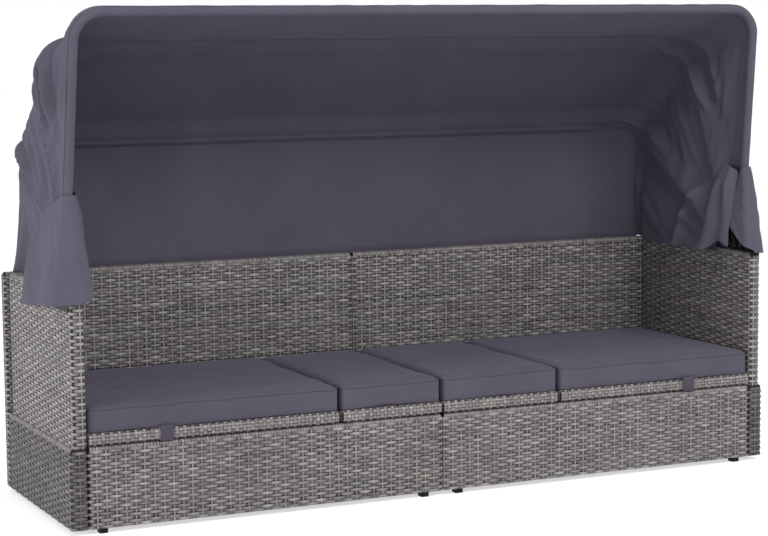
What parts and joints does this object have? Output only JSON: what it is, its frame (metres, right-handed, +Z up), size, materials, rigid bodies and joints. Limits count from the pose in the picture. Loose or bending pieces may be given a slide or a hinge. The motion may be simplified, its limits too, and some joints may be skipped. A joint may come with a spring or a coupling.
{
  "type": "outdoor daybed with canopy",
  "caption": "Outdoor daybed with woven sides, reclining seat ends on prop bails, loose cushions and a folding hooped fabric canopy.",
  "frame": {"origin": "middle of the footprint, on the floor", "axes": "+X to the right along the seat, +Y to the back, +Z up"},
  "size_m": [2.024, 0.644, 1.2727],
  "materials": {
    "woven_rattan": "woven flat strips of mixed warm grey, satin",
    "coated_steel": "dark powder coat, satin",
    "zinc_steel": "bright zinc plate",
    "canopy_cloth": "plain woven polyester, dark grey violet",
    "cushion_cloth": "plain woven polyester over foam, dark grey violet",
    "foot_plastic": "moulded black"
  },
  "bodies": {
    "bench": {"left_arm_weave": "woven_rattan", "right_arm_weave": "woven_rattan", "left_arm_frame": "coated_steel", "right_arm_frame": "coated_steel", "left_back_weave": "woven_rattan", "right_back_weave": "woven_rattan", "left_back_frame": "coated_steel", "right_back_frame": "coated_steel", "left_front_weave": "woven_rattan", "right_front_weave": "woven_rattan", "left_front_frame": "coated_steel", "right_front_frame": "coated_steel", "left_seat_frame": "coated_steel", "right_seat_frame": "coated_steel", "left_rack_frame": "coated_steel", "right_rack_frame": "coated_steel", "left_small_board_weave": "woven_rattan", "right_small_board_weave": "woven_rattan", "left_small_board_frame": "coated_steel", "right_small_board_frame": "coated_steel", "left_small_cushion": "cushion_cloth", "right_small_cushion": "cushion_cloth", "left_hinge_rod": "zinc_steel", "right_hinge_rod": "zinc_steel", "left_canopy_bracket": "coated_steel", "right_canopy_bracket": "coated_steel", "left_bracket_bolt": "zinc_steel", "right_bracket_bolt": "zinc_steel", "left_pivot_bolt": "zinc_steel", "right_pivot_bolt": "zinc_steel", "left_front_foot": "foot_plastic", "right_front_foot": "foot_plastic", "left_rear_foot": "foot_plastic", "right_rear_foot": "foot_plastic", "left_front_inner_foot": "foot_plastic", "right_front_inner_foot": "foot_plastic", "rear_middle_foot": "foot_plastic", "canopy_rear_curtain": "canopy_cloth"},
    "left_recliner": {"left_recliner_frame": "coated_steel", "left_recliner_weave": "woven_rattan", "left_recliner_cushion": "cushion_cloth"},
    "right_recliner": {"right_recliner_frame": "coated_steel", "right_recliner_weave": "woven_rattan", "right_recliner_cushion": "cushion_cloth"},
    "left_prop": {"left_prop_bail": "zinc_steel"},
    "right_prop": {"right_prop_bail": "zinc_steel"},
    "rear_hoop": {"left_rear_hoop_leg": "coated_steel", "rear_hoop_bar": "coated_steel", "right_rear_hoop_leg": "coated_steel", "canopy_mid_panel": "canopy_cloth"},
    "mid_hoop": {"left_mid_hoop_leg": "coated_steel", "mid_hoop_bar": "coated_steel", "right_mid_hoop_leg": "coated_steel", "canopy_front_panel": "canopy_cloth"},
    "front_hoop": {"left_front_hoop_leg": "coated_steel", "front_hoop_bar": "coated_steel", "right_front_hoop_leg": "coated_steel", "front_hoop_sleeve": "canopy_cloth", "left_front_flap": "canopy_cloth", "right_front_flap": "canopy_cloth"}
  },
  "joints": [
    {"name": "left_recline", "type": "hinge", "parent": "bench", "child": "left_recliner", "pos_m": [-0.289, 0, 0.236], "axis": [0, 1, 0], "range_deg": [0, 55], "deforming": ["left_small_cushion"]},
    {"name": "right_recline", "type": "hinge", "parent": "bench", "child": "right_recliner", "pos_m": [0.349, 0, 0.236], "axis": [0, -1, 0], "range_deg": [0, 55], "deforming": ["right_small_cushion"]},
    {"name": "left_prop_swing", "type": "hinge", "parent": "left_recliner", "child": "left_prop", "pos_m": [-0.539, 0, 0.21], "axis": [0, 1, 0], "range_deg": [-100.2, 0]},
    {"name": "right_prop_swing", "type": "hinge", "parent": "right_recliner", "child": "right_prop", "pos_m": [0.599, 0, 0.21], "axis": [0, -1, 0], "range_deg": [-100.2, 0]},
    {"name": "canopy_fold", "type": "hinge", "parent": "bench", "child": "rear_hoop", "pos_m": [0, -0.22, 0.607], "axis": [-1, 0, 0], "range_deg": [0, 28], "deforming": ["canopy_rear_curtain"]},
    {"name": "mid_hoop_fold", "type": "hinge", "parent": "rear_hoop", "child": "mid_hoop", "pos_m": [0, -0.22, 0.607], "axis": [-1, 0, 0], "range_deg": [0, 30], "deforming": ["canopy_mid_panel"]},
    {"name": "front_hoop_fold", "type": "hinge", "parent": "mid_hoop", "child": "front_hoop", "pos_m": [0, -0.22, 0.607], "axis": [-1, 0, 0], "range_deg": [0, 27], "deforming": ["canopy_front_panel", "left_front_flap", "right_front_flap"]}
  ],
  "couplings": [
    {"joint": "left_prop_swing", "follows": "left_recline", "ratio": -1.82},
    {"joint": "right_prop_swing", "follows": "right_recline", "ratio": -1.82},
    {"joint": "mid_hoop_fold", "follows": "canopy_fold", "ratio": 1.0714},
    {"joint": "front_hoop_fold", "follows": "canopy_fold", "ratio": 0.9642}
  ]
}
